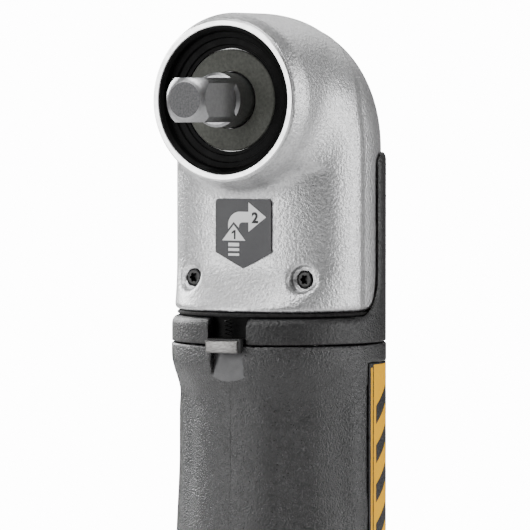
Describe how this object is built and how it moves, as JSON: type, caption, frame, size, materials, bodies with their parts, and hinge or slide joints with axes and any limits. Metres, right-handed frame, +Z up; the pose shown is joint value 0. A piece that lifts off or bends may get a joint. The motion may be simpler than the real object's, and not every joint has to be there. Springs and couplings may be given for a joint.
{
  "type": "air ratchet",
  "caption": "Pneumatic ratchet wrench with a round quick-change right-angle head, square drive, waisted black grip, lever throttle and threaded air inlet.",
  "frame": {"origin": "centre of the square drive end face", "axes": "-Y out of the square drive; +Z up along the handle towards the head; +X to the tool's side"},
  "size_m": [0.0474, 0.0701, 0.254],
  "materials": {
    "cast_silver": "satin, fine orange-peel",
    "dark_steel": "blackened",
    "anvil_steel": "satin",
    "washer_grey": "matte",
    "black_plastic": "satin, fine grain",
    "grip_plastic": "matte, spark-eroded texture",
    "gasket_rubber": "matte",
    "decal_grey": "satin film",
    "label_yellow": "satin film",
    "gear_steel": "ground",
    "bearing_steel": "polished",
    "sintered_bronze": "sintered",
    "cast_aluminium": "as cast",
    "blade_resin": "matte",
    "spring_steel": "drawn",
    "zinc_plated": "zinc plated"
  },
  "bodies": {
    "handle": {"grip_shell_left": "grip_plastic", "grip_shell_right": "grip_plastic", "side_label_left": "label_yellow", "side_label_right": "label_yellow", "handle_hub": "zinc_plated", "gear_case": "cast_aluminium", "carrier_bearing": "bearing_steel", "ring_gear": "gear_steel", "motor_cylinder": "gear_steel", "front_end_plate": "sintered_bronze", "rear_end_plate": "sintered_bronze", "front_rotor_bearing": "bearing_steel", "rear_rotor_bearing": "bearing_steel", "valve_block": "cast_aluminium", "lever_pin": "zinc_plated", "valve_spring": "spring_steel", "air_inlet": "zinc_plated", "inlet_screen": "zinc_plated", "shell_screw_1": "zinc_plated", "shell_screw_2": "zinc_plated", "shell_screw_3": "zinc_plated", "shell_screw_4": "zinc_plated"},
    "head": {"head_housing": "cast_silver", "head_screw_left": "zinc_plated", "head_screw_right": "zinc_plated", "nose_cup": "dark_steel", "dust_washer": "washer_grey", "front_bearing": "bearing_steel", "rear_bushing": "sintered_bronze", "pinion_bearing": "bearing_steel", "symbol_plate": "decal_grey", "bayonet_ring": "zinc_plated", "head_gasket": "gasket_rubber", "collar_boot": "black_plastic", "latch_spring": "spring_steel"},
    "pinion": {"bevel_pinion": "gear_steel"},
    "crown": {"crown_gear": "gear_steel"},
    "spindle": {"anvil_spindle": "anvil_steel", "detent_spring": "spring_steel"},
    "pawl_a": {"pawl_one": "gear_steel"},
    "pawl_b": {"pawl_two": "gear_steel"},
    "ball": {"detent_ball": "bearing_steel"},
    "latch": {"latch_slide": "zinc_plated"},
    "carrier": {"planet_carrier": "gear_steel", "planet_pin_1": "bearing_steel", "planet_pin_2": "bearing_steel", "planet_pin_3": "bearing_steel"},
    "planet_a": {"planet_gear_1": "gear_steel"},
    "planet_b": {"planet_gear_2": "gear_steel"},
    "planet_c": {"planet_gear_3": "gear_steel"},
    "rotor_body": {"rotor": "gear_steel", "rotor_blade_1": "blade_resin", "rotor_blade_2": "blade_resin", "rotor_blade_3": "blade_resin", "rotor_blade_4": "blade_resin", "rotor_blade_5": "blade_resin"},
    "lever": {"throttle_lever": "black_plastic"},
    "valve": {"throttle_valve": "zinc_plated"},
    "knob": {"reverse_knob": "black_plastic"},
    "deflector": {"exhaust_deflector": "black_plastic"}
  },
  "joints": [
    {"name": "head_turn", "type": "hinge", "parent": "handle", "child": "head", "pos_m": [0, 0.041, -0.05], "axis": [0, 0, 1], "range_deg": [0, 45]},
    {"name": "latch_press", "type": "slide", "parent": "head", "child": "latch", "axis": [0, 0, 1], "range_m": [0, 0.0035], "stiffness_N_per_m": 400, "springref_m": -0.002, "deforming": ["latch_spring"]},
    {"name": "rotor_spin", "type": "hinge", "parent": "handle", "child": "rotor_body", "pos_m": [0, 0.041, -0.13], "axis": [0, 0, 1], "continuous": true},
    {"name": "carrier_spin", "type": "hinge", "parent": "handle", "child": "carrier", "pos_m": [0, 0.041, -0.066], "axis": [0, 0, 1], "continuous": true},
    {"name": "planet_a_spin", "type": "hinge", "parent": "carrier", "child": "planet_a", "pos_m": [0.009, 0.041, -0.072], "axis": [0, 0, 1], "continuous": true},
    {"name": "planet_b_spin", "type": "hinge", "parent": "carrier", "child": "planet_b", "pos_m": [-0.0045, 0.04879, -0.072], "axis": [0, 0, 1], "continuous": true},
    {"name": "planet_c_spin", "type": "hinge", "parent": "carrier", "child": "planet_c", "pos_m": [-0.0045, 0.03321, -0.072], "axis": [0, 0, 1], "continuous": true},
    {"name": "pinion_spin", "type": "hinge", "parent": "head", "child": "pinion", "pos_m": [0, 0.041, -0.02], "axis": [0, 0, 1], "continuous": true},
    {"name": "crown_spin", "type": "hinge", "parent": "head", "child": "crown", "pos_m": [0, 0.031, 0], "axis": [0, -1, 0], "continuous": true},
    {"name": "spindle_spin", "type": "hinge", "parent": "head", "child": "spindle", "pos_m": [0, 0.021, 0], "axis": [0, -1, 0], "continuous": true},
    {"name": "pawl_a_tilt", "type": "hinge", "parent": "spindle", "child": "pawl_a", "pos_m": [-0.0022, 0.0301, 0.0046], "axis": [0, -1, 0], "range_deg": [-12, 0], "stiffness_Nm_per_rad": 0.002, "springref_deg": 11.46},
    {"name": "pawl_b_tilt", "type": "hinge", "parent": "spindle", "child": "pawl_b", "pos_m": [0.0022, 0.0301, -0.0046], "axis": [0, -1, 0], "range_deg": [-12, 0], "stiffness_Nm_per_rad": 0.002, "springref_deg": 11.46},
    {"name": "ball_press", "type": "slide", "parent": "spindle", "child": "ball", "axis": [1, 0, 0], "range_m": [0, 0.0006], "stiffness_N_per_m": 1000, "springref_m": -0.0005},
    {"name": "lever_press", "type": "hinge", "parent": "handle", "child": "lever", "pos_m": [0, 0.016, -0.2011], "axis": [-1, 0, 0], "range_deg": [0, 7], "stiffness_Nm_per_rad": 0.6, "springref_deg": -8.59},
    {"name": "valve_slide", "type": "slide", "parent": "handle", "child": "valve", "axis": [0, 1, 0], "range_m": [0, 0.0024], "deforming": ["valve_spring"]},
    {"name": "knob_turn", "type": "hinge", "parent": "handle", "child": "knob", "pos_m": [0, 0.066, -0.1741], "axis": [0, 1, 0], "range_deg": [-30, 30]},
    {"name": "deflector_turn", "type": "hinge", "parent": "handle", "child": "deflector", "pos_m": [0, 0.041, -0.2111], "axis": [0, 0, 1], "continuous": true}
  ],
  "couplings": [
    {"joint": "carrier_spin", "follows": "rotor_spin", "ratio": 0.2},
    {"joint": "planet_a_spin", "follows": "rotor_spin", "ratio": -0.53333},
    {"joint": "planet_b_spin", "follows": "rotor_spin", "ratio": -0.53333},
    {"joint": "planet_c_spin", "follows": "rotor_spin", "ratio": -0.53333},
    {"joint": "pinion_spin", "follows": "rotor_spin", "ratio": 0.2},
    {"joint": "crown_spin", "follows": "rotor_spin", "ratio": 0.1},
    {"joint": "spindle_spin", "follows": "rotor_spin", "ratio": 0.1},
    {"joint": "valve_slide", "follows": "lever_press", "m_per_rad": 0.018}
  ]
}
